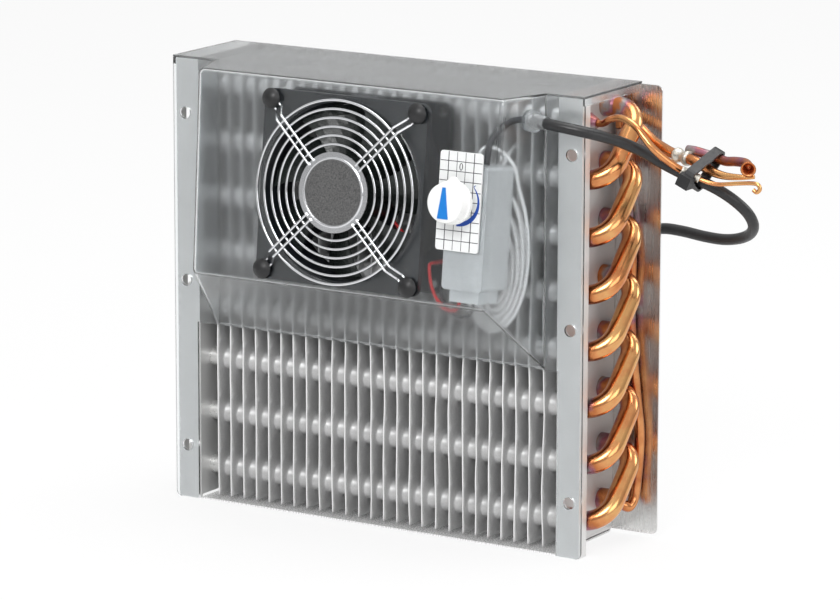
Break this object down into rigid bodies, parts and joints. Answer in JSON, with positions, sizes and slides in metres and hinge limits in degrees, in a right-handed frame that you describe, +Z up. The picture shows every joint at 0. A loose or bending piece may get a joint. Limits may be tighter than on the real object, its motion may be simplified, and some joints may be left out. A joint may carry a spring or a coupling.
{
  "type": "refrigeration evaporator",
  "caption": "Forced-air fin-and-tube evaporator in a flanged case, with a clear hood that carries an axial fan, its finger guard and a thermostat",
  "frame": {"origin": "middle of the bottom plate's underside, between the flanges and between the rims' front and the back panel", "axes": "+Z up, +X towards the return bends and lines, -Y out of the fan"},
  "size_m": [0.3275, 0.2329, 0.224],
  "materials": {
    "case_sheet": "mill-finish sheet, light scratches",
    "clear_plastic": "clear vacuum-formed sheet, soft edges",
    "fin_aluminium": "thin rolled foil, wavy",
    "tube_aluminium": "drawn tube",
    "copper": "copper tube, heat-coloured in places",
    "copper_bell": "copper sockets with braze metal",
    "brazed_copper": "copper darkened by brazing",
    "brazed_silver": "silver braze over the joint",
    "black_nylon": "black moulded nylon",
    "fan_plastic": "black glass-filled plastic",
    "impeller_plastic": "black moulded plastic",
    "stator_steel": "stacked laminations",
    "winding_wire": "enamelled winding wire",
    "bearing_bronze": "sintered bronze",
    "guard_wire": "dark coated steel wire",
    "white_plastic": "white moulded plastic",
    "plated_steel": "zinc-plated steel",
    "dial_plastic": "white plate with a blue scale",
    "knob_plastic": "white moulded plastic",
    "pointer_blue": "blue mark",
    "sensing_sleeve": "whitish sleeve over a thin tube",
    "red_pvc": "red lead insulation",
    "black_pvc": "black lead insulation",
    "black_rubber": "soft black rubber",
    "cable_jacket": "black cable jacket, slight sheen",
    "connector_nylon": "natural nylon",
    "magnet_ferrite": "ferrite ring"
  },
  "bodies": {
    "case": {"rear_panel": "case_sheet", "left_end_plate": "case_sheet", "right_end_plate": "case_sheet", "front_cover": "clear_plastic", "fins": "fin_aluminium", "hairpin_tubes": "tube_aluminium", "return_bends": "copper", "tube_bells": "copper_bell", "reducers": "brazed_copper", "suction_riser": "copper", "suction_line": "copper", "suction_sleeve": "brazed_silver", "suction_tail": "copper", "process_tube": "brazed_copper", "inlet_line": "copper", "inlet_sleeve": "brazed_silver", "capillary_tail": "copper", "cable_tie": "black_nylon", "fan_frame": "fan_plastic", "fan_stator": "stator_steel", "fan_windings": "winding_wire", "fan_bearings": "bearing_bronze", "finger_guard": "guard_wire", "guard_rivets": "black_nylon", "thermostat_body": "white_plastic", "thermostat_bush": "plated_steel", "thermostat_dial": "dial_plastic", "sensing_tube": "sensing_sleeve", "red_lead": "red_pvc", "dark_lead": "black_pvc", "supply_lead": "black_pvc", "cable_grommet": "black_rubber", "supply_cable": "cable_jacket", "cable_coil": "cable_jacket", "cable_connector": "connector_nylon"},
    "impeller": {"fan_impeller": "impeller_plastic", "fan_shaft": "plated_steel", "fan_magnet": "magnet_ferrite", "shaft_clip": "connector_nylon"},
    "knob": {"thermostat_knob": "knob_plastic", "knob_pointer": "pointer_blue", "thermostat_spindle": "plated_steel"}
  },
  "joints": [
    {"name": "fan_spin", "type": "hinge", "parent": "case", "child": "impeller", "pos_m": [0.0015, -0.05962, 0.1723], "axis": [0, -0.9942, 0.108], "continuous": true},
    {"name": "knob_turn", "type": "hinge", "parent": "case", "child": "knob", "pos_m": [0.0685, -0.05938, 0.17449], "axis": [0, 0.9942, -0.108], "range_deg": [0, 300]}
  ]
}
